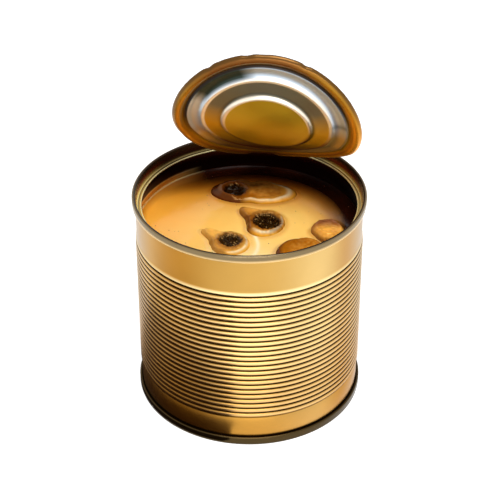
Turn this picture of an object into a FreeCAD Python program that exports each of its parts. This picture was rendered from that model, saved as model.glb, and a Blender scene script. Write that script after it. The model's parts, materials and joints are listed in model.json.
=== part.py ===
"""Steel soup can with a beaded wall, opened, with its lid bent up on an uncut strip.

The can stands on its bottom seam, centred on Z, with its foot at Z = 0. Lengths are in
millimetres and angles in degrees. The lid leans up at the back, towards +Y. The can holds
soup up to its level and five pieces of mushroom that lie half sunk in it.
"""

import FreeCAD, Part
import Sketcher
import math
import os

from FreeCAD import Placement, Rotation, Vector

SIZES = {
    # the can
    "can_height": 85.7,           # foot to the top of the upper seam
    "wall_radius": 42.45,         # outside of the plain bands
    "wall_sheet": 0.25,
    "end_sheet": 0.25,
    "seam_proud": 1.2,            # how far both double seams stand out from the wall
    "seam_width": 1.25,           # across the five folded layers
    "top_seam_height": 3.0,
    "foot_seam_height": 3.3,
    "seam_round": 0.4,
    "hook_depth": 0.5,            # how far the wall runs into each seam
    # the beads of the wall
    "groove_sink": 0.45,          # plain band down to the bottom of a groove
    "crest_rise": 0.45,           # plain band up to the crest of a bead
    "shoulder_drop": 0.12,        # crest down to each shoulder of a bead
    "bead_pitch": 2.2,
    "first_groove": 12.6,         # height of the lowest groove
    "top_band": 17.0,             # the least height left plain, with the seam, above the beads
    # the two ends
    "ledge_drop": 4.4,            # from the top of the can to the top of the ledge
    "ledge_width": 1.85,          # from the end's wall to the cut edge that the lid left
    "foot_recess": 3.9,           # from the foot to the underside of the bottom panel
    "foot_step_radius": 29.0,
    "foot_step_slope": 1.6,
    "foot_step_depth": 0.9,
    # the lid, its bend and its hinge
    "lid_sheet": 0.3,
    "lid_radius": 35.2,
    "lid_turn": 3.0,              # the way that the lid faces, about Z
    "hinge_inset": 2.92,          # from the ledge's cut edge to the hinge line
    "lid_aside": 5.755,           # the middle of the lid, along the hinge line
    "lid_gap": 1.9,               # from the hinge line to the edge of the disc
    "bend_start": 30.1,           # slope of the lid at the hinge
    "bend_end": 89.3,             # slope at its far edge
    "bend_length": 72.0,
    "twist": 0.1,                 # dip of the lid's right side, for each length across
    "twist_length": 25.0,         # how far from the hinge the twist is complete
    "flange_width": 4.2,
    "flange_rise": 1.3,
    "groove_width": 0.5,
    "groove_depth": 0.5,
    "shelf_width": 1.1,
    "shelf_rise": -0.28,
    "band_width": 5.5,
    "band_rise": -1.1,            # the middle of the hollow band
    "ring_rise": -0.5,
    "centre_radius": 15.6,
    "centre_slope": 1.6,
    "centre_rise": 0.98,
    "strip_aside": -2.5,          # the middle of the uncut strip, from the middle of the lid
    "strip_width": 11.0,
    "root_margin": 1.4,           # the strip's root stops this far inside the can's wall
    "hinge_clearance": 0.35,
    # the food
    "soup_drop": 14.2,            # from the top of the can to the soup
    "slice_sunk": 2.6,            # how deep a piece of mushroom lies in the soup
}

# Shares of the bead's pitch: where its flank meets the plain band's radius, its shoulder and its crest.
FLANK, SHOULDER, CREST = 0.12, 0.3, 0.5

# The lid's curled flange: shares of its width, inwards from the edge, and of its rise.
FLANGE_CURL = ((0.0, 0.2), (0.2, 0.85), (0.5, 1.0), (0.8, 0.5))
STRIP_SQUARENESS = 8              # how sharply the uncut strip ends at its two sides
STRIP_FLARE = 4                   # how late the rings run out along the strip
STRIP_SIDE = 0.5                  # keeps the run-out finite beside the strip

# Each mushroom's sizes, in the order of MUSHROOM_SIZES.
MUSHROOM_SIZES = (
    "middle_x", "middle_y", "half_long", "half_broad", "thick", "heading", "lean", "stem", "stem_turn",
)
MUSHROOMS = {
    "mushroom_back": (2.0, 21.4, 16.5, 8.4, 4.6, -4.0, 5.0, 0.10, 175.0),
    "mushroom_centre": (5.4, -0.2, 9.0, 9.4, 5.0, -20.0, 7.0, 0.16, 165.0),
    "mushroom_front": (-8.0, -14.2, 8.9, 8.2, 5.0, -12.0, 6.0, 0.22, 160.0),
    "mushroom_right": (29.4, -6.4, 6.4, 7.6, 6.0, 15.0, -8.0, 0.0, 0.0),
    "mushroom_front_right": (18.2, -18.8, 9.0, 6.6, 5.0, 22.0, -10.0, 0.08, 200.0),
}
for label, numbers in MUSHROOMS.items():
    for name, number in zip(MUSHROOM_SIZES, numbers):
        SIZES[f"{label}_{name}"] = number

# A slice's stem, in radians off its middle: its width, and where and how wide the neck is beside it.
STEM_WIDTH, NECK_TURN, NECK_WIDTH, NECK_SHARE = 0.45, 0.95, 0.35, 0.6

OUTLINE_POINTS = 28
RING_POINTS = 120

doc = FreeCAD.newDocument("SoupCan")
sheet = doc.addObject("Spreadsheet::Sheet", "Sizes")
for row, (alias, number) in enumerate(SIZES.items(), start=1):
    sheet.set(f"A{row}", alias.replace("_", " "))
    sheet.set(f"B{row}", str(number))
    sheet.setAlias(f"B{row}", alias)
doc.recompute()


def size(alias):
    """The value of one cell of the sheet."""
    return float(sheet.get(alias))


def cell(formula):
    """A formula in the sheet's aliases, with the sheet's name before each alias."""
    words = formula.replace("(", " ( ").replace(")", " ) ").split()
    return "".join(f"Sizes.{word}" if word in SIZES else word for word in words)


def section(body, name, outline):
    """A closed outline on the XZ plane. Each corner is a pair of formulas for its radius and height."""
    sketch = body.newObject("Sketcher::SketchObject", name)
    plane = [face for face in body.Origin.OriginFeatures if face.Role == "XZ_Plane"][0]
    sketch.AttachmentSupport = (plane, [""])
    sketch.MapMode = "FlatFace"
    corners = []
    for radius, height in outline:
        corners.append([sheet.evalExpression(cell(formula)) for formula in (radius, height)])
    last = len(corners)
    for index, (radius, height) in enumerate(corners):
        ahead = corners[(index + 1) % last]
        line = Part.LineSegment(Vector(radius, height, 0), Vector(ahead[0], ahead[1], 0))
        sketch.addGeometry(line, False)
    for index in range(last):
        sketch.addConstraint(Sketcher.Constraint("Coincident", index, 2, (index + 1) % last, 1))
    for index, (radius, height) in enumerate(corners):
        for kind, axis, formula, value in (
            ("DistanceX", -2, outline[index][0], radius),
            ("DistanceY", -1, outline[index][1], height),
        ):
            if formula == "0":
                sketch.addConstraint(Sketcher.Constraint("PointOnObject", index, 1, axis))
            else:
                place = sketch.addConstraint(Sketcher.Constraint(kind, -1, 1, index, 1, value))
                sketch.renameConstraint(place, f"{kind}{index}")
                sketch.setExpression(f"Constraints.{kind}{index}", cell(formula))
    return sketch


def turned(body, name, outline):
    """A section spun a full turn about the can's axis."""
    sketch = section(body, f"{name}_section", outline)
    spin = body.newObject("PartDesign::Revolution", name)
    spin.Profile = sketch
    spin.ReferenceAxis = (sketch, ["V_Axis"])
    spin.Angle = 360
    doc.recompute()
    return spin


def new_body(label):
    body = doc.addObject("PartDesign::Body", label)
    body.Label = label
    return body


WALL_IN = "wall_radius - wall_sheet"
CHUCK_IN = f"{WALL_IN} - end_sheet"
LEDGE_IN = f"{CHUCK_IN} - ledge_width"
SEAM_OUT = "wall_radius + seam_proud"
SEAM_IN = f"{SEAM_OUT} - seam_width"
GROOVE_OUT = "wall_radius - groove_sink"
GROOVE_IN = f"{GROOVE_OUT} - wall_sheet"
CREST_OUT = "wall_radius + crest_rise"
BEADS = "floor((can_height - top_band - first_groove) / bead_pitch)"
BEADS_TOP = f"first_groove + bead_pitch * {BEADS}"
WALL_TOP = "can_height - top_seam_height + hook_depth"
WALL_FOOT = "foot_seam_height - hook_depth"
LIP = "can_height - ledge_drop"
SOUP_LEVEL = "can_height - soup_drop"


def worked_out(formula):
    """The value of a formula in the sheet's aliases."""
    return float(sheet.evalExpression(cell(formula)))


def can_body():
    """The rolled wall: a plain foot band, a bead repeated up the can, and a plain top band."""
    body = new_body("can_body")
    flare = f"{FLANK} * bead_pitch"
    turned(body, "foot_band", [
        (GROOVE_IN, "first_groove"), (WALL_IN, f"first_groove - {flare}"),
        (WALL_IN, WALL_FOOT), ("wall_radius", WALL_FOOT),
        ("wall_radius", f"first_groove - {flare}"), (GROOVE_OUT, "first_groove"),
    ])
    shoulder = f"{CREST_OUT} - shoulder_drop"
    rising = [(GROOVE_OUT, 0), ("wall_radius", FLANK), (shoulder, SHOULDER), (CREST_OUT, CREST)]
    falling = [(radius, 1 - share) for radius, share in reversed(rising[:-1])]
    bead = [(radius, f"first_groove + {share} * bead_pitch") for radius, share in rising + falling]
    inside = [(f"{radius} - wall_sheet", height) for radius, height in reversed(bead)]
    ridge = turned(body, "bead", bead + inside)
    rows = body.newObject("PartDesign::LinearPattern", "bead_rows")
    rows.Originals = [ridge]
    rows.Direction = ([axis for axis in body.Origin.OriginFeatures if axis.Role == "Z_Axis"][0], [""])
    rows.Occurrences = int(worked_out(BEADS))
    rows.setExpression("Occurrences", cell(BEADS))
    rows.Length = worked_out(f"bead_pitch * ({BEADS} - 1)")
    rows.setExpression("Length", cell(f"bead_pitch * ({BEADS} - 1)"))
    body.Tip = rows
    doc.recompute()
    turned(body, "top_band", [
        (GROOVE_IN, BEADS_TOP), (GROOVE_OUT, BEADS_TOP),
        ("wall_radius", f"{BEADS_TOP} + {flare}"), ("wall_radius", WALL_TOP),
        (WALL_IN, WALL_TOP), (WALL_IN, f"{BEADS_TOP} + {flare}"),
    ])
    return body


def top_ring():
    """What is left of the top end: its double seam, the wall inside it, the ledge and the hinge root."""
    body = new_body("top_ring")
    turned(body, "seam_and_ledge", [
        ("wall_radius", "can_height - top_seam_height"),
        (f"{SEAM_OUT} - seam_round", "can_height - top_seam_height"),
        (SEAM_OUT, "can_height - top_seam_height + seam_round"),
        (SEAM_OUT, "can_height - seam_round"),
        (f"{SEAM_OUT} - seam_round", "can_height"),
        (f"{SEAM_IN} + seam_round", "can_height"),
        (SEAM_IN, "can_height - seam_round"),
        (CHUCK_IN, f"{WALL_TOP} + end_sheet"),
        (CHUCK_IN, LIP),
        (LEDGE_IN, LIP),
        (LEDGE_IN, f"{LIP} - end_sheet"),
        (WALL_IN, f"{LIP} - end_sheet"),
        (WALL_IN, WALL_TOP),
        ("wall_radius", WALL_TOP),
    ])
    return body


def bottom_end():
    """The bottom end: its double seam, which is the foot, and its recessed panel with one step."""
    body = new_body("bottom_end")
    panel = "foot_recess"
    step = "foot_recess - foot_step_depth"
    turned(body, "seam_and_panel", [
        ("wall_radius", "foot_seam_height"),
        (f"{SEAM_OUT} - seam_round", "foot_seam_height"),
        (SEAM_OUT, "foot_seam_height - seam_round"),
        (SEAM_OUT, "seam_round"),
        (f"{SEAM_OUT} - seam_round", "0"),
        (f"{SEAM_IN} + seam_round", "0"),
        (SEAM_IN, "seam_round"),
        (CHUCK_IN, f"{WALL_FOOT} - end_sheet"),
        (CHUCK_IN, panel),
        ("foot_step_radius + foot_step_slope", panel),
        ("foot_step_radius", step),
        ("0", step),
        ("0", f"{step} + end_sheet"),
        ("foot_step_radius", f"{step} + end_sheet"),
        ("foot_step_radius + foot_step_slope", f"{panel} + end_sheet"),
        (WALL_IN, f"{panel} + end_sheet"),
        (WALL_IN, WALL_FOOT),
        ("wall_radius", WALL_FOOT),
    ])
    return body


HINGE_REACH = f"{LEDGE_IN} - hinge_inset"


def hinge_place():
    """The hinge line's frame: X along the line, Y away from the can's axis, origin at the lid's middle."""
    turn = Rotation(Vector(0, 0, 1), -size("lid_turn"))
    flat = turn.multVec(Vector(size("lid_aside"), worked_out(HINGE_REACH), 0))
    return Placement(Vector(flat.x, flat.y, worked_out(f"{LIP} - end_sheet / 2")), turn)


def hinge_root(ring):
    """The ledge with the root of the uncut strip joined to it."""
    root = doc.addObject("Part::Box", "hinge_root")
    root.setExpression("Length", cell("strip_width"))
    root.setExpression("Height", cell("end_sheet"))
    root.setExpression("Width", cell("ledge_width + hinge_inset - root_margin + hinge_clearance"))
    corner = Vector(
        size("strip_aside") - size("strip_width") / 2,
        size("hinge_clearance"),
        -size("end_sheet") / 2,
    )
    root.Placement = hinge_place().multiply(Placement(corner, Rotation()))
    joined = doc.addObject("Part::Fuse", "top_ring_with_root")
    joined.Base = ring
    joined.Tool = root
    joined.Refine = True
    return joined


def bent(across, along, rise):
    """A point of the flat lid, across and along from the hinge line, after the lid is bent."""
    start, end = math.radians(size("bend_start")), math.radians(size("bend_end"))
    length = size("bend_length")
    curl = (end - start) / length
    curved = min(max(along, 0.0), length)
    straight = along - curved
    slope = start + curl * curved
    twisted = min(max(along / size("twist_length"), 0.0), 1.0)
    rise += size("twist") * (across - size("strip_aside")) * twisted
    inwards = (math.sin(slope) - math.sin(start)) / curl
    upwards = (math.cos(start) - math.cos(slope)) / curl
    inwards += straight * math.cos(slope) + rise * math.sin(slope)
    upwards += straight * math.sin(slope) - rise * math.cos(slope)
    return Vector(across, -inwards, upwards)


def strip_share(across):
    """1 within the uncut strip and 0 away from it."""
    off = (across - size("strip_aside")) / (size("strip_width") / 2)
    return 1 / (1 + off ** STRIP_SQUARENESS)


def lid_ring(radius, rise, skin, shelf):
    """One ring of the lid as a closed curve. Those outside the shelf run out along the uncut strip."""
    points = []
    edge = size("lid_radius")
    outer = min(max((radius - shelf) / (edge - shelf), 0.0), 1.0)
    for index in range(RING_POINTS):
        turn = 2 * math.pi * index / RING_POINTS
        across, side = math.cos(turn), math.sin(turn)
        share = strip_share(edge * across) if side < 0 else 0.0
        reach = (size("lid_gap") + edge * (1 + side)) * share * outer ** STRIP_FLARE
        place = radius + reach / max(abs(side), STRIP_SIDE)
        along = size("lid_gap") + edge + place * side
        points.append(bent(place * across, along, rise * (1 - share * outer) + skin))
    curve = Part.BSplineCurve()
    curve.interpolate(Points=points, PeriodicFlag=True)
    return curve.toShape()


def lid():
    """The cut disc as bent sheet: curled flange, groove, shelf, hollow band, flat ring and raised middle."""
    edge, flange = size("lid_radius"), size("flange_rise")
    groove = edge - size("flange_width") - size("groove_width")
    shelf = groove - size("shelf_width")
    ring, middle = size("ring_rise"), size("ring_rise") + size("centre_rise")
    profile = [(edge - inwards * size("flange_width"), up * flange) for inwards, up in FLANGE_CURL]
    profile += [
        (groove, -size("groove_depth")),
        (shelf, size("shelf_rise")),
        (shelf - size("band_width") / 2, size("band_rise")),
        (shelf - size("band_width"), ring),
        (size("centre_radius") + size("centre_slope"), ring),
        (size("centre_radius"), middle),
    ]
    half = size("lid_sheet") / 2
    faces, edges = [], []
    for skin in (half, -half):
        rings = [lid_ring(radius, rise, skin, shelf) for radius, rise in profile]
        faces += [Part.makeRuledSurface(outer, inner) for outer, inner in zip(rings, rings[1:])]
        faces.append(Part.makeFilledFace([rings[-1]]))
        edges.append(rings[0])
    faces.append(Part.makeRuledSurface(*edges))
    shell = Part.Shell(faces)
    shell.sewShape()
    solid = Part.Solid(Part.Shell(shell.Faces))
    if solid.Volume < 0:
        solid.reverse()
    part = doc.addObject("Part::Feature", "lid")
    part.Label = "lid"
    part.Shape = solid
    part.Placement = hinge_place()
    return part


def stem_growth(angle, stem):
    """How much further than its oval a slice reaches at an angle: a blunt stem with a neck each side."""
    grown = stem * math.exp(-((angle / STEM_WIDTH) ** 2))
    return grown - NECK_SHARE * stem * math.exp(-(((abs(angle) - NECK_TURN) / NECK_WIDTH) ** 2))


def mushroom(label):
    """A thick slice: a rounded outline with a blunt stem on one side."""
    spec = {name: size(f"{label}_{name}") for name in MUSHROOM_SIZES}
    points = []
    for index in range(OUTLINE_POINTS):
        angle = 2 * math.pi * index / OUTLINE_POINTS
        off = math.remainder(angle - math.radians(spec["stem_turn"]), 2 * math.pi)
        grow = 1 + stem_growth(off, spec["stem"])
        x, y = spec["half_long"] * grow * math.cos(angle), spec["half_broad"] * grow * math.sin(angle)
        points.append(Vector(x, y, 0))
    curve = Part.BSplineCurve()
    curve.interpolate(Points=points, PeriodicFlag=True)
    face = Part.Face(Part.Wire([curve.toShape()]))
    part = doc.addObject("Part::Feature", label)
    part.Label = label
    part.Shape = face.extrude(Vector(0, 0, spec["thick"]))
    heading, lean = Rotation(Vector(0, 0, 1), spec["heading"]), Rotation(Vector(0, 1, 0), spec["lean"])
    height = worked_out(f"{SOUP_LEVEL} - slice_sunk")
    part.Placement = Placement(Vector(spec["middle_x"], spec["middle_y"], height), heading.multiply(lean))
    return part


def soup(slices):
    """The soup up to its level, clear of the grooves and cut round the mushrooms."""
    body = new_body("soup_whole")
    floor = "foot_recess + end_sheet"
    step = "foot_recess - foot_step_depth + end_sheet"
    turned(body, "soup_fill", [
        ("0", step), ("foot_step_radius", step),
        ("foot_step_radius + foot_step_slope", floor), (GROOVE_IN, floor),
        (GROOVE_IN, BEADS_TOP), (WALL_IN, f"{BEADS_TOP} + {FLANK} * bead_pitch"),
        (WALL_IN, SOUP_LEVEL), ("0", SOUP_LEVEL),
    ])
    every = doc.addObject("Part::MultiFuse", "mushrooms")
    every.Shapes = slices
    rest = doc.addObject("Part::Cut", "soup")
    rest.Base = body
    rest.Tool = every
    rest.Label = "soup"
    return rest


body_wall = can_body()
ring_body = top_ring()
ring_body.Label = "top_ring_turned"
ring_whole = hinge_root(ring_body)
ring_whole.Label = "top_ring"
foot = bottom_end()
lid_part = lid()
slices = [mushroom(label) for label in MUSHROOMS]
soup_part = soup(slices)
doc.recompute()

failed = [thing.Label for thing in doc.Objects if {"Invalid", "Error"} & set(thing.State)]
if failed:
    raise RuntimeError(f"these features failed: {failed}")
nodes = [body_wall, ring_whole, foot, lid_part, *slices, soup_part]
for node in nodes:
    if node.Shape.isNull() or not node.Shape.isValid() or len(node.Shape.Solids) != 1:
        raise RuntimeError(f"{node.Label} has no valid solid")

os.makedirs("parts", exist_ok=True)
for node in nodes:
    node.Shape.exportStep(f"parts/{node.Label}.step")
    box = node.Shape.BoundBox
    print(f"{node.Label:22s} {node.Shape.Volume:10.1f} mm3  Z {box.ZMin:6.2f} to {box.ZMax:6.2f}")
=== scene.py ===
"""An opened steel soup can: beaded golden wall, double seams, bent lid, soup and mushroom slices.

Lengths are in metres. The can stands on the floor at Z = 0, centred on Z, and faces -Y.
"""

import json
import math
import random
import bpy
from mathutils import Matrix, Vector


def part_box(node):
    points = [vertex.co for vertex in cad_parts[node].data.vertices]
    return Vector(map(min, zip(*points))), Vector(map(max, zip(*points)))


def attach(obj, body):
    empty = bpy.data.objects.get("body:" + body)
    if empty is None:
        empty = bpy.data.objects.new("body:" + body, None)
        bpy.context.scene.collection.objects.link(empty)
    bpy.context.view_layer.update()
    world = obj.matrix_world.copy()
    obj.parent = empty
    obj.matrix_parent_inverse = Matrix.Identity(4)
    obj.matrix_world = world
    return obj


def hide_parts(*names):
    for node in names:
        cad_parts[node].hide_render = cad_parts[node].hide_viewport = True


bl_info = {
    "name": "Open Soup Can",
    "version": (1, 0, 0),
    "blender": (4, 5, 0),
    "location": "View3D > Sidebar > Soup Can",
    "description": "Makes an opened food can with its lid bent up, soup and mushroom slices",
    "category": "Add Mesh",
}

import bmesh
import bpy
from bpy.props import FloatProperty, FloatVectorProperty, IntProperty, PointerProperty
from mathutils import Matrix, Vector, noise

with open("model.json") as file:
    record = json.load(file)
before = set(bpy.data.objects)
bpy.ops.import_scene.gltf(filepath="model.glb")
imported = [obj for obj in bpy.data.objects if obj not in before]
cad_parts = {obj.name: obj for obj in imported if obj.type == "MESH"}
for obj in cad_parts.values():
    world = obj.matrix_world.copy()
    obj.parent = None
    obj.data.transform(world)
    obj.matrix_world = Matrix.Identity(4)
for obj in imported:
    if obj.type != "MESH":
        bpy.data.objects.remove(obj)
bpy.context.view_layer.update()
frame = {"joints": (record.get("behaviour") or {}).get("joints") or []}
MM = 0.001
CLEAR = 0.02 * MM  # left between pieces, so that their faces never share a place


# ---------------------------------------------------------------- sizes and colours

def linear(colour):
    """An sRGB hex colour as linear red, green and blue."""
    parts = [int(colour[place:place + 2], 16) / 255 for place in (1, 3, 5)]
    return [part / 12.92 if part <= 0.04045 else ((part + 0.055) / 1.055) ** 2.4 for part in parts]


def length_of(name, default, description):
    return FloatProperty(name=name, description=description, default=default, unit="LENGTH", precision=5)


def colour_of(name, default, description):
    return FloatVectorProperty(
        name=name, description=description, default=linear(default), size=3, subtype="COLOR", min=0, max=1
    )


RING_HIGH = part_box("top_ring")[1]
WALL_LOW, WALL_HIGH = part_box("can_body")
SOUP_LOW, SOUP_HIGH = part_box("soup")
HINGE = next(joint for joint in frame["joints"] if joint["name"] == "lid_hinge")


class CanSizes(bpy.types.PropertyGroup):
    """Sizes of the can itself."""

    seam_radius: length_of("Seam radius", RING_HIGH.x, "Outside of both double seams")
    height: length_of("Height", RING_HIGH.z, "Foot to the top of the upper seam")
    wall_radius: length_of("Wall radius", 42.45 * MM, "Outside of the plain bands")
    sheet: length_of("Sheet", 0.25 * MM, "Thickness of the tinplate")
    seam_width: length_of("Seam width", 1.25 * MM, "Across the folded layers of a double seam")
    top_seam: length_of("Top seam height", 3.0 * MM, "Height of the upper double seam")
    foot_seam: length_of("Foot seam height", 3.3 * MM, "Height of the lower double seam")
    panel: length_of("Panel height", 3.9 * MM, "Floor to the underside of the bottom panel")
    ledge_drop: length_of("Ledge drop", 4.4 * MM, "Top of the can to the top of the ledge")
    ledge_radius: length_of("Ledge radius", 40.1 * MM, "The cut edge that the lid left")
    bead_pitch: length_of("Bead pitch", 2.2 * MM, "From one groove of the wall to the next")
    first_groove: length_of("First groove", 12.6 * MM, "Height of the lowest groove")
    groove_depth: length_of("Groove depth", 0.45 * MM, "Plain band down to the bottom of a groove")
    crest_rise: length_of("Crest rise", 0.42 * MM, "Plain band up to the crest of a bead")
    beads: IntProperty(name="Beads", description="Number of beads up the wall", default=25, min=1)


class LidSizes(bpy.types.PropertyGroup):
    """Sizes of the cut lid, flat, and how it is bent."""

    radius: length_of("Radius", 35.2 * MM, "Edge of the disc")
    sheet: length_of("Sheet", 0.3 * MM, "Thickness of the lid")
    gap: length_of("Gap", 1.9 * MM, "From the hinge line to the edge of the disc")
    bend_length: length_of("Bend length", 72.0 * MM, "How far up the lid is curved")
    twist_length: length_of("Twist length", 25.0 * MM, "How far from the hinge the twist is complete")
    twist: FloatProperty(
        name="Twist", description="Dip of the right side, for each length across", default=0.1
    )
    strip_width: length_of("Strip width", 11.0 * MM, "Width of the uncut strip")
    strip_aside: length_of("Strip aside", -2.5 * MM, "Middle of the strip, from the middle of the lid")
    bend_start: FloatProperty(
        name="Start slope", description="Slope at the hinge", default=math.radians(30.1), subtype="ANGLE"
    )
    bend_end: FloatProperty(
        name="End slope", description="Slope at the far edge", default=math.radians(89.3), subtype="ANGLE"
    )


class SoupSizes(bpy.types.PropertyGroup):
    """Sizes of the soup's surface."""

    level: length_of("Level", SOUP_HIGH.z, "Height of the soup")
    climb: length_of("Climb", 0.7 * MM, "How far the soup climbs the wall")
    swell: length_of("Swell", 0.25 * MM, "Height of the slow swells on the surface")


class CanColours(bpy.types.PropertyGroup):
    """Colours of the metal and the food."""

    lacquer: colour_of("Wall lacquer", "#b88f48", "Gold lacquer on the plain bands")
    # painted dark reflection: the wall's lacquer darker on the left, in a streak on the right and towards
    # the bottom
    dark_reflected_lacquer: colour_of("Thick wall lacquer", "#a36c18", "Gold lacquer where the coat is thick")
    # painted highlight: the wall's lacquer lighter on the right
    bright_reflected_lacquer: colour_of("Thin wall lacquer", "#d8b878", "Gold lacquer where the coat is thin")
    # painted reflection: the wall's lacquer duller at the two sides
    edge: colour_of("Dull wall lacquer", "#8f7348", "Duller lacquer at the two sides")
    # painted dark reflection low on the left of the wall
    painted_dark_reflection: colour_of("Scorched lacquer", "#4a220a", "Browned lacquer low on the left")
    # painted highlight: pale colour on the crests of the beads and along the upper seam's lower edge
    crest: colour_of("Crest", "#f8d292", "Thin pale lacquer on the crests of the beads")
    # painted shade in the grooves and in the crease just over the foot seam
    groove: colour_of("Groove", "#1c0b02", "Thick lacquer in the bottom of a groove")
    seam: colour_of("Seam", "#7f6c4a", "Dull champagne gold of the upper seam")
    # painted dark reflection on the seam's inner shoulder
    seam_dark_reflection: colour_of("Seam compound", "#2c1c0c", "Dark sealing compound on the seam's inner shoulder")
    # the ledge's own lacquer; the inside wall just over the ledge gets it at the left and right as painted
    # light
    ledge: colour_of("Ledge", "#f0c84c", "Green gold lacquer of the ledge")
    # the bright cut edge's own colour. It also paints highlights: on the beads' top shoulder, along the soup
    # film's edge, on the lid's flange and at the soup's left edge
    lip: colour_of("Cut lip", "#fbeeb4", "Bright edge where the end was cut")
    inside: colour_of("Inside", "#96380a", "Lacquer on the wall above the ledge")
    # painted shade: on the inside wall over the soup, on the ring under the lid, in the soup at the back
    # right and over the back slice
    painted_shade: colour_of("Deep inside", "#200802", "Lacquer in the shade of the lid")
    foot: colour_of("Foot", "#453821", "Dark olive gold of the lower seam and end")
    flange: colour_of("Lid flange", "#ae7a14", "Amber lacquer of the curled flange")
    # painted light on the flange, at the lower right and the lower left
    flange_painted_light: colour_of("Bright flange", "#f4a41c", "Amber lacquer where it is thin")
    # painted shade on the flange's outer edge, over its upper part
    flange_painted_shade: colour_of("Flange edge", "#5e3f14", "Rubbed edge of the flange")
    # painted shade in the lid's groove and along the top of the flat ring's inner edge
    lid_groove_shade: colour_of("Lid groove", "#1c1006", "Lacquer pooled in the lid's grooves")
    # painted reflection: the hollow band silver over its upper part, and a thin bright line in the groove at
    # the lower right
    tin: colour_of("Bright tin", "#b4bec8", "Bare bright tin on the hollow band")
    # painted dark reflection on the hollow band, at the upper left and in a streak at the right
    tin_dark_reflection: colour_of("Dark tin", "#27332b", "Tarnished tin on the hollow band")
    # painted highlight on the upper side of the lid's ridges
    cream: colour_of("Rubbed tin", "#efe4d2", "Tin rubbed bright on the lid's ridges")
    # painted reflection: the flat ring grey brown at the top, turning golden lower down
    ring: colour_of("Lid ring", "#6a6656", "Grey brown lacquer at the top of the flat ring")
    lid: colour_of("Lid", "#c89a10", "Golden lacquer of the lid")
    lid_middle: colour_of("Lid middle", "#b09622", "Golden lacquer of the raised middle")
    soup: colour_of("Soup", "#ffd072", "Creamy soup")
    # the soup's warmer colour. Towards the back it is also the first step of painted shade
    soup_warm: colour_of("Warm soup", "#f4a024", "Soup where the fat has risen")
    # painted shade beside the slices, by the wall and towards the back
    soup_painted_shade: colour_of("Deep soup", "#b86a14", "Soup beside the mushrooms and the wall")
    flesh: colour_of("Mushroom flesh", "#f6b04a", "Cooked mushroom flesh")
    amber: colour_of("Mushroom amber", "#b4690f", "Thin see-through flesh")
    # the mushroom's own skin. Its colour also paints shade on the lid's edges and lower parts, and on each
    # slice's shaded side
    skin: colour_of("Mushroom skin", "#5c2808", "Cooked mushroom skin")
    wet_skin: colour_of("Wet mushroom skin", "#8a5230", "Pinkish brown wet skin")
    rim: colour_of("Golden rim", "#ffb42a", "Thin rim of a slice with light through it")
    gill: colour_of("Mushroom gill", "#0e0502", "Wet dark gills")
    # painted highlight on the golden side of a slice's rim, at the front of the soup and in the arc by the
    # front slice
    painted_highlight: colour_of("Glaze", "#fff0c4", "Bright wet rim of a slice")


# ---------------------------------------------------------------- small helpers

def finish_piece(name, mesh, body, material, replaced=()):
    """A mesh as a piece that rides on a body, with its material."""
    piece = bpy.data.objects.new(name, mesh)
    bpy.context.scene.collection.objects.link(piece)
    for face in mesh.polygons:
        face.use_smooth = True
    mesh.materials.append(material)
    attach(piece, body)
    if replaced:
        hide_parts(*replaced)


def spin_outline(outline, steps, closed=True):
    """A bmesh of an outline of radius and height pairs, spun a full turn about Z."""
    shape = bmesh.new()
    corners = [shape.verts.new((radius, 0, height)) for radius, height in outline]
    pairs = list(zip(corners, corners[1:]))
    if closed:
        pairs.append((corners[-1], corners[0]))
    edges = [shape.edges.new(pair) for pair in pairs]
    bmesh.ops.spin(
        shape, geom=corners + edges, cent=(0, 0, 0), axis=(0, 0, 1), angle=2 * math.pi, steps=steps,
        use_merge=True,
    )
    bmesh.ops.remove_doubles(shape, verts=shape.verts[:], dist=1e-6)
    bmesh.ops.recalc_face_normals(shape, faces=shape.faces[:])
    return shape


def as_mesh(shape, name):
    mesh = bpy.data.meshes.new(name)
    shape.to_mesh(mesh)
    shape.free()
    return mesh


def arc(centre, radius, start, end, count):
    """Points of an arc, from start to end in degrees."""
    points = []
    for index in range(count + 1):
        turn = math.radians(start + (end - start) * index / count)
        points.append((centre[0] + radius * math.cos(turn), centre[1] + radius * math.sin(turn)))
    return points


def add(tree, kind, links=(), **settings):
    """Adds a node, sets its properties or sockets, and links sockets into it."""
    node = tree.nodes.new(kind)
    for key, value in settings.items():
        if hasattr(node, key):
            setattr(node, key, value)
        else:
            node.inputs[key.replace("_", " ")].default_value = value
    for socket, source in links:
        tree.links.new(source, node.inputs[socket])
    return node


def near(value, middle, width):
    """1 at the middle, falling smoothly to 0 about twice the width away."""
    return math.exp(-(((value - middle) / width) ** 2))


def ramp(value, low, high):
    """0 at low and 1 at high, held at those values beyond."""
    return min(max((value - low) / (high - low), 0.0), 1.0)


def facing(angle, degrees):
    """1 where an angle in radians points the given way in degrees, 0 across it and -1 opposite."""
    return math.cos(angle - math.radians(degrees))


def lumps(x, y, scale, seed):
    """Smooth lumps from about -1 to 1, each about 1 / scale across."""
    return noise.noise(Vector((x * scale, y * scale, seed)))


def layered(base, *layers):
    """A colour with others laid over it, each by a share from 0 to 1."""
    result = Vector(base[:])
    for colour, share in layers:
        result = result.lerp(Vector(colour[:]), min(max(share, 0.0), 1.0))
    return result


def store_tones(mesh, tones):
    """Stores one colour for each vertex, as the attribute that the materials read."""
    attribute = mesh.attributes.new("tone", "FLOAT_COLOR", "POINT")
    for cell, tone in zip(attribute.data, tones):
        cell.color = (*tone, 1.0)


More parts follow.
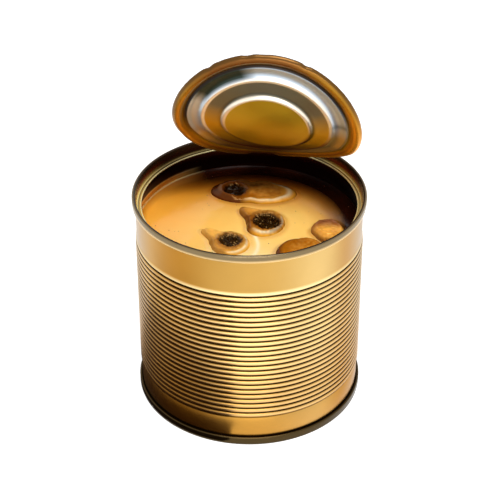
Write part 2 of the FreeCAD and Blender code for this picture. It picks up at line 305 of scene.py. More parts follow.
def tinted(tree, place, scale, dark, light):
    """The piece's own tones, made slightly uneven by a noise of a given scale."""
    tone = add(tree, "ShaderNodeAttribute", attribute_name="tone")
    uneven = add(tree, "ShaderNodeTexNoise", [("Vector", place.outputs["Object"])], Scale=scale, Detail=3.0)
    spread = add(tree, "ShaderNodeMapRange", [("Value", uneven.outputs["Fac"])], To_Min=dark, To_Max=light)
    scaled = add(tree, "ShaderNodeVectorMath", [(0, tone.outputs["Color"])], operation="SCALE")
    tree.links.new(spread.outputs[0], scaled.inputs["Scale"])
    return scaled.outputs[0], uneven


def empty_material(name):
    material = bpy.data.materials.new(name)
    material.use_nodes = True
    material.node_tree.nodes.clear()
    return material, material.node_tree


def new_material(name, **settings):
    """A material with one Principled shader, and the shader's sockets set."""
    material, tree = empty_material(name)
    shader = add(tree, "ShaderNodeBsdfPrincipled", **settings)
    add(tree, "ShaderNodeOutputMaterial", [("Surface", shader.outputs[0])])
    return material, tree, shader


def flat(colour):
    return (*colour[:3], 1.0)


# ---------------------------------------------------------------- materials

def lacquered_steel(name, roughness, metal=1.0, grain=0.06):
    """Gold lacquered tinplate. The lacquer is clear amber over bright tin, so it reads as soft brass.

    The rolled sheet has faint lines round the can and a slightly uneven coat.
    """
    material, tree, shader = new_material(name, Metallic=metal)
    place = add(tree, "ShaderNodeTexCoord")
    tone, _ = tinted(tree, place, 90.0, 0.9, 1.06)
    tree.links.new(tone, shader.inputs["Base Color"])
    # fingerprints and coat marks, about 4 mm across
    marks = add(tree, "ShaderNodeTexNoise", [("Vector", place.outputs["Object"])], Scale=260.0, Detail=4.0)
    rough = add(
        tree, "ShaderNodeMapRange", [("Value", marks.outputs["Fac"])], clamp=True,
        To_Min=0.92 * roughness, To_Max=1.1 * roughness,
    )
    tree.links.new(rough.outputs[0], shader.inputs["Roughness"])
    # rolling lines round the can, drawn 0.25 mm apart so that they show
    stretch = add(
        tree, "ShaderNodeMapping", [("Vector", place.outputs["Object"])], Scale=(30.0, 30.0, 4000.0)
    )
    lines = add(tree, "ShaderNodeTexNoise", [("Vector", stretch.outputs[0])], Scale=1.0, Detail=2.0)
    relief = add(
        tree, "ShaderNodeBump", [("Height", lines.outputs["Fac"])], Strength=grain, Distance=0.1 * MM
    )
    tree.links.new(relief.outputs[0], shader.inputs["Normal"])
    return material


def wet_soup():
    """Thick cream soup: milky, so light scatters in it, with a wet skin of melted fat."""
    material, tree, shader = new_material(
        "cream soup", Roughness=0.16, IOR=1.38, Subsurface_Weight=0.25,
        Subsurface_Radius=(1.0, 0.55, 0.25), Subsurface_Scale=2 * MM,
    )
    place = add(tree, "ShaderNodeTexCoord")
    tone, swirl = tinted(tree, place, 45.0, 0.93, 1.06)
    swirl.inputs["Distortion"].default_value = 1.5
    tree.links.new(tone, shader.inputs["Base Color"])
    # fine curds, about 1.5 mm across
    curds = add(tree, "ShaderNodeTexNoise", [("Vector", place.outputs["Object"])], Scale=700.0, Detail=2.0)
    relief = add(
        tree, "ShaderNodeBump", [("Height", curds.outputs["Fac"])], Strength=0.08, Distance=0.2 * MM
    )
    tree.links.new(relief.outputs[0], shader.inputs["Normal"])
    return material


def cooked_mushroom():
    """Cooked mushroom in soup: soft see-through flesh, brown skin at its edge and black wet gills.

    The fat on it gives its highlights a golden tint.
    """
    material, tree, shader = new_material(
        "cooked mushroom", Roughness=0.14, IOR=1.4, Specular_Tint=flat(linear("#ffc070")),
        Subsurface_Weight=0.15, Subsurface_Radius=(1.0, 0.5, 0.25), Subsurface_Scale=1 * MM,
    )
    place = add(tree, "ShaderNodeTexCoord")
    # uneven flesh, in patches about 2.5 mm across
    tone, fibre = tinted(tree, place, 420.0, 0.75, 1.2)
    tree.links.new(tone, shader.inputs["Base Color"])
    relief = add(
        tree, "ShaderNodeBump", [("Height", fibre.outputs["Fac"])], Strength=0.45, Distance=0.4 * MM
    )
    tree.links.new(relief.outputs[0], shader.inputs["Normal"])
    return material


def herb_speck():
    """Ground pepper and browned bits that float in the soup: matt and rough."""
    material, tree, shader = new_material("pepper speck", Roughness=0.4)
    place = add(tree, "ShaderNodeTexCoord")
    grit = add(tree, "ShaderNodeTexNoise", [("Vector", place.outputs["Object"])], Scale=900.0)
    tone = add(tree, "ShaderNodeMix", [("Factor", grit.outputs["Fac"])], data_type="RGBA")
    # a Mix node's colours are its sockets 6 and 7, and its mixed colour comes out of 2
    tone.inputs[6].default_value = flat(linear("#3a1606"))
    tone.inputs[7].default_value = flat(linear("#8a4a18"))
    tree.links.new(tone.outputs[2], shader.inputs["Base Color"])
    return material


# ---------------------------------------------------------------- the can

# Shares of the way from one groove to the next at which the wall's section has a point. They are
# closest at the groove, which is sharp.
BEAD_SHARES = (0.0, 0.035, 0.08, 0.14, 0.24, 0.37, 0.5, 0.63, 0.76, 0.86, 0.92, 0.965)
BEAD_POWER = 0.38  # of a sine. Under 1 makes the crests broad and the grooves narrow
LAST_BEAD = ((0.0, 0.0), (0.5, 0.18), (0.75, 0.45), (0.8, 0.8), (0.68, 1.3))  # share of the rise, mm up
# Heights in mm of close rows, which keep a change of colour sharp: over the foot, and inside by the soup
FOOT_ROWS = (2.8, 3.0, 3.3, 3.8, 4.3)
SOUP_ROWS = (71.0, 73.0, 73.5, 73.8, 74.1, 74.4, 74.8, 76.0)


def top_groove_height(sizes):
    """Height of the highest groove of the wall."""
    return sizes.first_groove + sizes.beads * sizes.bead_pitch


def wall_outline(sizes):
    """The wall's section: outside from foot to top, then the inside back down."""
    low, high = WALL_LOW.z, WALL_HIGH.z
    groove = sizes.wall_radius - sizes.groove_depth
    rise = sizes.groove_depth + sizes.crest_rise
    top_groove = top_groove_height(sizes)
    under_beads = sizes.first_groove - 0.6 * MM
    outside = [(sizes.wall_radius, height * MM) for height in FOOT_ROWS]
    outside += [(sizes.wall_radius, under_beads)]
    for bead in range(sizes.beads):
        for share in BEAD_SHARES:
            height = sizes.first_groove + (bead + share) * sizes.bead_pitch
            outside.append((groove + rise * math.sin(math.pi * share) ** BEAD_POWER, height))
    outside += [(groove + share * rise, top_groove + up * MM) for share, up in LAST_BEAD]
    plain_band = (top_groove + 2.0 * MM, top_groove + 2.4 * MM, high - 0.2 * MM, high)
    outside += [(sizes.wall_radius, height) for height in plain_band]
    plain = sizes.wall_radius - sizes.sheet
    inside = [(plain, low), (plain, under_beads)]
    for step in range(sizes.beads * 2 + 1):
        crest = 0.8 * rise if step % 2 else 0
        inside.append((groove + crest - sizes.sheet, sizes.first_groove + step * sizes.bead_pitch / 2))
    inside += [(plain, top_groove + 0.5 * MM)]
    inside += [(plain, height * MM) for height in SOUP_ROWS]
    inside += [(plain, high)]
    return outside + inside[::-1]


def inner_wall_tone(place, colours):
    """Painted shade on the wall over the soup. At the left of the back a film of soup clings to it,
    with a painted highlight at its edge.
    """
    film_top = 74.1 * MM
    film = ramp(facing(math.atan2(place.y, place.x), 156), 0.78, 0.93)
    wet = ramp(place.z, film_top + 0.1 * MM, film_top - 0.3 * MM)
    # painted highlight, in the cut lip's pale colour, along the top of the film
    edge = near(place.z, film_top, 0.3 * MM)
    return layered(colours.painted_shade, (colours.soup, 0.8 * wet * film), (colours.lip, edge * film))


def wall_tone(place, sizes, colours):
    """The wall's colour: painted reflections vary its lacquer round the can and towards the bottom,
    painted highlights make its crests pale and painted shade makes its grooves dark.
    """
    top_groove = top_groove_height(sizes)
    is_inside = math.hypot(place.x, place.y) < sizes.wall_radius - 0.1 * MM
    if is_inside and place.z > top_groove + 0.3 * MM:
        return inner_wall_tone(place, colours)
    turn = math.degrees(math.atan2(place.x, -place.y))  # 0 at the front and positive to the right
    middle = near(turn, 6, 38)
    # painted reflections round the can: darker on the left, lighter on the right with a dark streak beyond,
    # duller at the two sides and darker towards the bottom
    coat = layered(
        colours.lacquer, (colours.dark_reflected_lacquer, 0.75 * near(turn, -38, 18)),
        (colours.bright_reflected_lacquer, 0.7 * near(turn, 36, 18)), (colours.dark_reflected_lacquer, 0.5 * near(turn, 56, 9)),
        (colours.edge, 0.75 * ramp(abs(turn), 58, 78) * ramp(abs(turn), 150, 100)),
        (colours.dark_reflected_lacquer, 0.5 * ramp(place.z, 46 * MM, 24 * MM)),
    )
    bead = min(max(round((place.z - sizes.first_groove) / sizes.bead_pitch), 0), sizes.beads)
    groove_off = abs(place.z - sizes.first_groove - bead * sizes.bead_pitch)
    # painted highlight on the crests of the beads, strongest at the front and higher up
    crest = ramp(place.z, sizes.first_groove, sizes.first_groove + 0.4 * MM)
    crest *= ramp(place.z, top_groove + 1.9 * MM, top_groove + 1.0 * MM)
    crest *= ramp(groove_off, 0.45 * MM, 0.9 * MM) * (0.25 + 0.7 * middle)
    crest *= 0.6 + 0.4 * ramp(place.z, 22 * MM, 44 * MM)
    # painted highlight in the cut lip's colour along the shoulder over the top groove, strongest at the
    # front
    shoulder = near(place.z, top_groove + 0.9 * MM, 0.45 * MM) * (0.35 + 0.5 * middle)
    # painted dark reflection low on the left, under a slanting upper edge
    dark_reflection_share = ramp(turn, -9, -24) * ramp(turn, -85, -66) * ramp(place.z / MM + 0.35 * turn, 38, 26)
    return layered(
        coat, (colours.crest, crest), (colours.lip, shoulder), (colours.painted_dark_reflection, 0.42 * dark_reflection_share),
        # painted shade in the bottom of each groove and in the crease over the foot seam
        (colours.groove, ramp(groove_off, 0.42 * MM, 0.24 * MM)),
        (colours.groove, ramp(place.z, 4.2 * MM, 3.7 * MM)),
    )


class CAN_OT_wall(bpy.types.Operator):
    """Makes the beaded wall"""

    bl_idname = "soup_can.wall"
    bl_label = "Beaded Wall"

    def execute(self, context):
        sizes, colours = context.scene.can_sizes, context.scene.can_colours
        mesh = as_mesh(spin_outline(wall_outline(sizes), steps=180), "can_wall")
        store_tones(mesh, [wall_tone(vertex.co, sizes, colours) for vertex in mesh.vertices])
        material = lacquered_steel("gold lacquered tinplate", 0.3)
        finish_piece("can_wall", mesh, "can", material, ["can_body"])
        return {"FINISHED"}


def ring_outline(sizes):
    """The top ring's section: over the seam, down the wall inside it, and out to the cut ledge and lip."""
    top, radius, width = sizes.height, sizes.seam_radius, sizes.seam_width
    ledge = top - sizes.ledge_drop
    wall_in = sizes.wall_radius - sizes.sheet
    chuck = wall_in - sizes.sheet
    bow, corner, fillet, lip = width / 2, 0.35 * MM, 0.45 * MM, 0.32 * MM
    outline = [(sizes.wall_radius + CLEAR, top - sizes.top_seam)]
    outline += arc((radius - corner, top - sizes.top_seam + corner), corner, -90, 0, 5)
    outline += [(radius - 0.03 * MM, top - 0.6 * sizes.top_seam)]
    outline += arc((radius - bow, top - bow), bow, 0, 180, 12)
    outline += [(radius - width - CLEAR, top - 1.1 * MM), (chuck + 0.06 * MM, top - 2.3 * MM)]
    outline += [(chuck, ledge + 1.5 * MM), (chuck, ledge + 0.8 * MM)]
    outline += arc((chuck - fillet, ledge + fillet), fillet, 0, -90, 5)
    outline += [(sizes.ledge_radius + 1.2 * MM, ledge), (sizes.ledge_radius + 0.85 * MM, ledge)]
    outline += arc((sizes.ledge_radius + lip, ledge - 0.05 * MM), lip, 20, 200, 8)
    outline += [(sizes.ledge_radius + 0.06 * MM, ledge - sizes.sheet)]
    outline += [(wall_in - CLEAR / 2, ledge - sizes.sheet), (wall_in - CLEAR / 2, WALL_HIGH.z + CLEAR)]
    outline += [(sizes.wall_radius + CLEAR, WALL_HIGH.z + CLEAR)]
    return outline


def ring_tone(place, sizes, colours):
    """The top ring's colour. It is darkest at the back and the right, under the bent lid."""
    top = sizes.height
    ledge = top - sizes.ledge_drop
    reach = math.hypot(place.x, place.y)
    shaded = ramp(place.y, 4 * MM, 26 * MM) * ramp(place.x, 40 * MM, 28 * MM)
    shaded = max(shaded, 0.35 * ramp(place.x, 10 * MM, 36 * MM))
    if place.z > top - 2.0 * MM:
        # painted dark reflection on the inner part of the seam's top; compound is the radius where it
        # starts, further out at the front
        front = ramp(-place.y, 5 * MM, 28 * MM)
        compound = sizes.seam_radius - (0.42 - 0.3 * front) * sizes.seam_width
        dark = ramp(reach, compound, compound - 0.15 * sizes.seam_width)
        return layered(colours.seam, (colours.seam_dark_reflection, dark))
    if reach > sizes.wall_radius - 0.1 * MM:
        # painted highlight: a pale line along the seam's lower edge
        return layered(colours.seam, (colours.crest, ramp(place.z, top - 2.4 * MM, top - 2.7 * MM)))
    if place.z > ledge + 0.5 * MM:
        # painted light: the inside wall just over the ledge turns golden at the left and right
        golden = ramp(place.z, ledge + 1.5 * MM, ledge + 0.7 * MM) * ramp(abs(place.x), 22 * MM, 36 * MM)
        return layered(colours.inside, (colours.ledge, golden), (colours.painted_shade, 0.97 * shaded))
    lip = near(reach, sizes.ledge_radius, 0.6 * MM)
    return layered(
        colours.lip, (colours.ledge, 0.6 * ramp(reach, sizes.ledge_radius, sizes.ledge_radius + 0.6 * MM)),
        # painted shade: a dark line in the corner at the foot of the inside wall
        (colours.painted_shade, 0.9 * near(reach, sizes.ledge_radius + 1.1 * MM, 0.3 * MM)),
        (colours.painted_shade, (0.85 - 0.35 * lip) * shaded),
    )


class CAN_OT_top_ring(bpy.types.Operator):
    """Makes the upper double seam, the wall inside it and the cut ledge"""

    bl_idname = "soup_can.top_ring"
    bl_label = "Top Ring"

    def execute(self, context):
        sizes, colours = context.scene.can_sizes, context.scene.can_colours
        shape = spin_outline(ring_outline(sizes), steps=192)
        add_hinge_root(shape, context.scene.lid_sizes, sizes)
        mesh = as_mesh(shape, "top_seam")
        store_tones(mesh, [ring_tone(vertex.co, sizes, colours) for vertex in mesh.vertices])
        material = lacquered_steel("pale gold tinplate seam", 0.24, metal=0.65)
        finish_piece("top_seam", mesh, "can", material, ["top_ring"])
        return {"FINISHED"}


def hinge_frame():
    """The hinge line's frame: X along the line, Y away from the can's axis, origin on the line."""
    along = -Vector(HINGE["axis"])
    along.normalize()
    out = Vector((0, 0, 1)).cross(along)
    turn = Matrix((along, out, Vector((0, 0, 1)))).transposed().to_4x4()
    return Matrix.Translation(Vector(HINGE["pos_m"])) @ turn


def add_hinge_root(shape, lid, sizes):
    """Adds the root of the uncut strip, a small plate that runs from the ledge to the hinge line."""
    start, end = 0.35 * MM, 2.3 * MM
    made = bmesh.ops.create_grid(shape, x_segments=12, y_segments=4, size=0.5)
    middle = Vector((lid.strip_aside, (start + end) / 2, sizes.sheet / 2))
    bmesh.ops.scale(shape, vec=(lid.strip_width, end - start, 1), verts=made["verts"])
    bmesh.ops.translate(shape, vec=middle, verts=made["verts"])
    faces = list({face for vertex in made["verts"] for face in vertex.link_faces})
    grown = bmesh.ops.extrude_face_region(shape, geom=faces, use_keep_orig=True)
    lower = [item for item in grown["geom"] if isinstance(item, bmesh.types.BMVert)]
    bmesh.ops.translate(shape, vec=(0, 0, -sizes.sheet), verts=lower)
    bmesh.ops.transform(shape, matrix=hinge_frame(), verts=made["verts"] + lower)
    bmesh.ops.recalc_face_normals(shape, faces=shape.faces[:])


# The bottom panel's section, from its edge inwards: radius, and height over the panel, in mm
PANEL_STEPS = (
    (40.6, 0.0), (39.4, -0.5), (38.0, -0.5), (37.0, 0.0), (30.6, 0.0), (29.0, -0.9), (20.0, -0.9),
    (18.8, -0.5), (0.0, -0.5),
)


def foot_outline(sizes):
    """The foot's section: round the lower seam, up inside it, and along the panel and back."""
    radius, tall, panel, sheet = sizes.seam_radius, sizes.foot_seam, sizes.panel, sizes.sheet
    bow, corner = sizes.seam_width / 2, 0.4 * MM
    wall_in = sizes.wall_radius - sheet
    chuck = wall_in - sheet
    outline = [(sizes.wall_radius + CLEAR, tall)]
    outline += arc((radius - corner, tall - corner), corner, 90, 0, 5)
    outline += [(radius - 0.03 * MM, tall / 2)]
    outline += arc((radius - bow, bow), bow, 0, -180, 12)
    outline += [(chuck + 0.05 * MM, 2.4 * MM), (chuck, panel - 0.5 * MM)]
    outline += [(place * MM, panel + rise * MM) for place, rise in PANEL_STEPS]
    outline += [(place * MM, panel + rise * MM + sheet) for place, rise in reversed(PANEL_STEPS)]
    outline += [(wall_in - CLEAR / 2, panel + sheet), (wall_in - CLEAR / 2, WALL_LOW.z - CLEAR)]
    outline += [(sizes.wall_radius + CLEAR, WALL_LOW.z - CLEAR)]
    return outline


class CAN_OT_foot(bpy.types.Operator):
    """Makes the lower double seam and the recessed bottom"""

    bl_idname = "soup_can.foot"
    bl_label = "Foot and Bottom"

    def execute(self, context):
        sizes, colours = context.scene.can_sizes, context.scene.can_colours
        mesh = as_mesh(spin_outline(foot_outline(sizes), steps=180), "foot_seam")
        store_tones(mesh, [layered(colours.foot)] * len(mesh.vertices))
        material = lacquered_steel("dark gold tinplate foot", 0.3)
        finish_piece("foot_seam", mesh, "can", material, ["bottom_end"])
        return {"FINISHED"}


# ---------------------------------------------------------------- the lid

# The flat lid's section, from its edge to its middle: radius, and rise towards the food side, in mm.
# The edge curls up, then come the dark groove, the hollow band, the flat ring and the raised middle.
LID_PROFILE = [
    (35.2, 0.10), (35.05, 0.55), (34.6, 1.0), (33.9, 1.26), (33.1, 1.30), (32.4, 1.08), (31.8, 0.62),
    (31.3, 0.05), (30.9, -0.35), (30.5, -0.5), (30.15, -0.42), (29.8, -0.26), (29.4, -0.2), (29.0, -0.3),
    (28.4, -0.62), (27.6, -0.95), (26.6, -1.1), (25.7, -1.0), (25.1, -0.75), (24.6, -0.42), (24.2, -0.24),
    (23.8, -0.24), (23.4, -0.38), (22.9, -0.48), (22.0, -0.5), (20.2, -0.5), (18.8, -0.5), (17.9, -0.48),
    (17.3, -0.3), (16.8, 0.1), (16.3, 0.46), (15.8, 0.6), (15.2, 0.56), (14.4, 0.49),
]
LID_PROFILE += [(2.1 * row, 0.48) for row in range(6, -1, -1)]  # rows of the flat middle, for the bend
MIDDLE_EDGE, RING_EDGE, BAND_EDGE, GROOVE_EDGE = 15.7, 23.3, 29.6, 31.1  # where its parts end, in mm
PANEL_EDGE = 29.4 * MM  # the pressed panel. The strip pulls only what lies outside it
RIM_START, RIM_WIDTH = 33.0 * MM, 2.2 * MM  # the curled edge, which the opener left ragged
# Nicks in the edge: turn in degrees, depth in mm, width in degrees
NICKS = ((126, 0.5, 2.2), (101, 0.42, 2.6), (66, 0.55, 2.0), (92, 0.2, 5.0))


def lid_panel_tone(place, colours):
    """The lid's colour inside the hollow band: the raised middle, and the flat ring round it, with
    painted reflections, highlights and shade.
    """
    x, y = place.x / MM, place.y / MM
    radius = math.hypot(x, y)
    upper = facing(math.atan2(y, x), 100)
    if radius < MIDDLE_EDGE:
        # painted reflection: golden lower down; a painted highlight on the middle's upper edge and painted
        # shade on its lower edge
        return layered(
            colours.lid_middle, (colours.lid, ramp(y, 8, -10)),
            (colours.cream, ramp(radius, 15.3, 15.65) * ramp(upper, 0.0, 0.5)),
            (colours.skin, ramp(radius, 15.0, 15.5) * ramp(upper, -0.3, -0.7)),
        )
    # painted reflection: grey brown above, golden below and dark at the bottom; at the inner edge, a painted
    # highlight and a line of painted shade at the top, and painted shade at the bottom
    return layered(
        colours.ring, (colours.lid, ramp(y - 0.3 * abs(x), 4, -9)), (colours.skin, 0.95 * ramp(y, -11, -22)),
        (colours.cream, ramp(radius, 17.1, 16.8) * ramp(upper, -0.3, 0.25)),
        (colours.skin, ramp(radius, 17.9, 17.3) * ramp(upper, -0.2, -0.6)),
        (colours.lid_groove_shade, 0.5 * near(radius, 17.7, 0.4) * ramp(upper, 0.3, 0.8)),
    )


def lid_band_tone(place, colours):
    """The hollow band's colour, with painted reflections: bright tin above, dark at the upper left and
    golden below, and painted shade and highlights.
    """
    x, y = place.x / MM, place.y / MM
    radius, angle = math.hypot(x, y), math.atan2(y, x)
    upper, upper_left, right_low = facing(angle, 100), facing(angle, 128), facing(angle, -28)
    ridge = 0.4 + 0.8 * ramp(facing(angle, 60), 0.6, 0.95)
    # painted reflections: silver above, dark at the upper left and in a streak at the right, golden below
    # and at the left; painted shade low down and on the lower inner edge; a painted highlight on the upper
    # inner edge
    return layered(
        colours.tin, (colours.tin_dark_reflection, ramp(upper_left, 0.86, 0.95) * ramp(radius, 24.6, 25.4)),
        (colours.lid, 0.85 * ramp(upper, -0.05, -0.35)),
        (colours.skin, 0.8 * ramp(upper, -0.45, -0.75) * ramp(right_low, 0.9, 0.6)),
        (colours.tin_dark_reflection, 0.6 * near(angle, 0.12, 0.05)),
        (colours.lid, 0.3 * near(radius, 27.4, 0.7) * ramp(upper, 0.7, 0.2) * ramp(-x, 0, 8)),
        (colours.cream, ramp(radius, 24.3 + ridge, 24.0 + 0.6 * ridge) * ramp(upper, -0.35, 0.0)),
        (colours.skin, 0.8 * ramp(radius, 24.6, 24.0) * ramp(upper, -0.35, -0.6)),
    )


def lid_rim_tone(place, colours):
    """The colour outside the hollow band: the dark groove, and the amber flange with its darker edge,
    both with painted light and shade.
    """
    x, y = place.x / MM, place.y / MM
    radius, angle = math.hypot(x, y), math.atan2(y, x)
    upper, upper_left, right_low = facing(angle, 100), facing(angle, 128), facing(angle, -28)
    if radius < GROOVE_EDGE:
        # painted shade fills the groove; a painted highlight runs along it at the lower right, and a painted
        # reflection turns it golden lower down
        return layered(
            colours.lid_groove_shade, (colours.flange, 0.5 * ramp(radius, 30.7, 31.1)),
            (colours.tin, 0.6 * near(radius, 29.9, 0.18) * ramp(right_low, 0.5, 0.9)),
            (colours.lid, 0.6 * ramp(upper, 0.2, -0.4)),
        )
    # painted light at the lower right and lower left; painted shade at the top, low down, along the inner
    # part and on the outer edge; a painted highlight in the cut lip's colour at the upper left
    return layered(
        colours.flange, (colours.flange_painted_light, ramp(right_low, 0.45, 0.95)),
        (colours.flange_painted_light, 0.55 * ramp(-x, 22, 34) * ramp(y, 8, -12)),
        (colours.skin, 0.8 * ramp(upper, 0.6, 0.9)),
        (colours.skin, 0.6 * ramp(upper, -0.55, -0.85) * ramp(right_low, 0.8, 0.5)),
        (colours.skin, 0.8 * near(radius, 31.7, 0.5) * ramp(upper, -0.1, -0.7)),
        (colours.flange_painted_shade, 0.9 * ramp(radius, 33.6, 34.6) * ramp(upper, -0.4, 0.3)),
        (colours.lip, 0.5 * near(radius, 31.9, 0.22) * ramp(upper_left, 0.4, 0.9)),
    )


def lid_tone(place, colours):
    """The lid's colour at a point of its flat food side."""
    radius = math.hypot(place.x, place.y) / MM
    if radius < RING_EDGE:
        return lid_panel_tone(place, colours)
    if radius < BAND_EDGE:
        return lid_band_tone(place, colours)
    return lid_rim_tone(place, colours)


def bend_lid(place, lid):
    """A point of the flat lid, its middle at the origin, moved to where the bent lid has it."""
    radius = math.hypot(place.x, place.y)
    side = place.y / radius if radius else 0.0
    # where the uncut strip pulls the rim out to the hinge line
    share = 0.0
    if side < 0:
        across = lid.radius * place.x / radius
        share = 1 / (1 + ((across - lid.strip_aside) / (lid.strip_width / 2)) ** 8)
    outer = min(max((radius - PANEL_EDGE) / (lid.radius - PANEL_EDGE), 0.0), 1.0)
    reach = (lid.gap + lid.radius * (1 + side)) * share * outer ** 4 / max(abs(side), 0.5)
    stretch = 1 + reach / radius if radius else 1.0
    along = lid.gap + lid.radius + place.y * stretch
    # the twist and the pressed height, both square to the sheet
    twisted = min(max(along / lid.twist_length, 0.0), 1.0)
    rise = place.z * (1 - share * outer) + lid.twist * (place.x * stretch - lid.strip_aside) * twisted
    # the bend: the slope grows evenly along the sheet, so its run and its height are integrals
    curl = (lid.bend_end - lid.bend_start) / lid.bend_length
    bent = min(max(along, 0.0), lid.bend_length)
    slope = lid.bend_start + curl * bent
    inwards = (math.sin(slope) - math.sin(lid.bend_start)) / curl + (along - bent) * math.cos(slope)
    upwards = (math.cos(lid.bend_start) - math.cos(slope)) / curl + (along - bent) * math.sin(slope)
    inwards += rise * math.sin(slope)
    upwards -= rise * math.cos(slope)
    return Vector((place.x * stretch, -inwards, upwards))


def tear_rim(place):
    """A point of the flat lid's rim, pulled in where the opener left it ragged."""
    radius = math.hypot(place.x, place.y)
    if radius <= RIM_START:
        return place
    angle = math.degrees(math.atan2(place.y, place.x))
    pull = sum(depth * near(angle, middle, width) for middle, depth, width in NICKS)
    pull += 0.07 * noise.noise(Vector((0.35 * angle, 0, 0)))
    share = 1 - pull * MM * (radius - RIM_START) / RIM_WIDTH / radius
    return Vector((place.x * share, place.y * share, place.z))


class CAN_OT_lid(bpy.types.Operator):
    """Makes the cut lid, flat with its rings, and bends it up"""

    bl_idname = "soup_can.lid"
    bl_label = "Bent Lid"

    def execute(self, context):
        lid, colours = context.scene.lid_sizes, context.scene.can_colours
        half = lid.sheet / 2
        food = [(radius * MM, rise * MM + half) for radius, rise in LID_PROFILE]
        outside = [(radius * MM, rise * MM - half) for radius, rise in LID_PROFILE]
        shape = spin_outline(food + outside[::-1], steps=200)
        tones = [lid_tone(vertex.co, colours) for vertex in shape.verts]
        for vertex in shape.verts:
            vertex.co = bend_lid(tear_rim(vertex.co), lid)
        bmesh.ops.transform(shape, matrix=hinge_frame(), verts=shape.verts)
        bmesh.ops.recalc_face_normals(shape, faces=shape.faces[:])
        mesh = as_mesh(shape, "bent_lid")
        store_tones(mesh, tones)
        material = lacquered_steel("amber lacquered tinplate", 0.32, metal=0.75, grain=0.01)
        finish_piece("bent_lid", mesh, "lid", material, ["lid"])
        return {"FINISHED"}


# ---------------------------------------------------------------- the food

def turned_place(spec, place):
    """A point of the soup's surface in a slice's own frame, in millimetres: along and across it."""
    turn = math.radians(spec["turn"])
    x, y = place.x / MM - spec["middle"][0], place.y / MM - spec["middle"][1]
    return x * math.cos(turn) + y * math.sin(turn), y * math.cos(turn) - x * math.sin(turn)


def outline_reach(spec, angle):
    """How far a slice reaches from its middle at an angle, in millimetres."""
    long, broad = spec["half"]
    reach = 1 / math.sqrt((math.cos(angle) / long) ** 2 + (math.sin(angle) / broad) ** 2)
    for share, middle, width in spec["lobes"]:
        off = math.remainder(angle - math.radians(middle), 2 * math.pi)
        reach *= 1 + share * near(off, 0.0, width)
    return reach


# Each slice, in millimetres and degrees: its middle, half sizes, thickness, turn, lean, the lobes of
# its outline (share, angle, width), how far it stands out of the soup, and its gill patch (middle
# along and across, radius). Then its colours: where its rim is golden with painted light and how
# much, which side has painted shade, how far it melts into the soup, how amber its flesh is, and the
# tone over its far side with its strength, which on the back slice is painted shade.
SLICES = {
    "mushroom_back": {
        "middle": (1.4, 20.8), "half": (16.4, 8.2), "thick": 4.4, "turn": -5.0, "lean": (4.0, 2.0),
        "lobes": ((-0.20, 100, 0.4), (-0.14, -95, 0.4), (0.06, 10, 0.4)), "lift": 2.3,
        "gill": ((-7.0, -0.6), 4.0),
        "gold": (-35, 0.8), "shade": 215, "melt": 0.0, "tan": 1.2, "top": "painted_shade", "dusk": 0.85,
    },
    "mushroom_centre": {
        "middle": (5.9, -1.0), "half": (7.6, 9.0), "thick": 5.0, "turn": -16.0, "lean": (3.0, 3.0),
        "lobes": ((0.72, 150, 0.30), (-0.08, 205, 0.3), (-0.10, 108, 0.3)), "lift": 2.2,
        "gill": ((0.6, -0.2), 4.9),
        "gold": (-35, 1.0), "shade": 235, "melt": 0.3, "tan": 0.1, "top": "skin", "dusk": 0.0,
    },
    "mushroom_front": {
        "middle": (-7.4, -14.8), "half": (7.8, 7.8), "thick": 4.6, "turn": -12.0, "lean": (2.0, 2.0),
        "lobes": ((0.80, 150, 0.26), (-0.08, 205, 0.3), (-0.10, 112, 0.3)), "lift": 1.8,
        "gill": ((0.2, 0.8), 3.9),
        "gold": (-8, 0.7), "shade": 250, "melt": 0.9, "tan": 0.0, "top": "skin", "dusk": 0.0,
    },
    "mushroom_right": {
        "middle": (29.0, -6.8), "half": (6.3, 7.3), "thick": 6.4, "turn": 12.0, "lean": (-6.0, 4.0),
        "lobes": ((0.10, 60, 0.5), (-0.14, 200, 0.5), (-0.10, 130, 0.3)), "lift": 3.2, "gill": None,
        "gold": (-60, 0.0), "shade": 80, "melt": 0.0, "tan": 0.2, "top": "wet_skin", "dusk": 0.9,
    },
    "mushroom_front_right": {
        "middle": (18.2, -18.8), "half": (8.8, 6.5), "thick": 4.6, "turn": 22.0, "lean": (4.0, -3.0),
        "lobes": ((0.06, 200, 0.5), (-0.10, 80, 0.5)), "lift": 2.2, "gill": None,
        "gold": (60, 0.0), "shade": 150, "melt": 0.0, "tan": 1.6, "top": "skin", "dusk": 0.3,
    },
}


def off_slice(spec, place):
    """How far a point lies outside a slice's outline, in millimetres, and less than 0 inside it."""
    along, across = turned_place(spec, place)
    return math.hypot(along, across) - outline_reach(spec, math.atan2(across, along))


def soup_rise(place, soup, wall):
    """The height of the soup's skin over its level: swells, and where it climbs what it wets."""
    climb_width = 1.1 * MM
    rise = soup.climb * math.exp(-max(wall - math.hypot(place.x, place.y), 0.0) / climb_width)
    rise += soup.swell * lumps(place.x, place.y, 55, 0.3)
    rise += 0.3 * soup.swell * lumps(place.x, place.y, 160, 4.1)
    for spec in SLICES.values():
        away = off_slice(spec, place)
        rise += 0.45 * MM * near(away, 0.0, 1.0)
        # the soup sinks away under a slice, so that it never shows through
        under = max(-1.2 - away, 0.0)
        rise -= min(0.6 * under, 1.6) * MM
    return rise


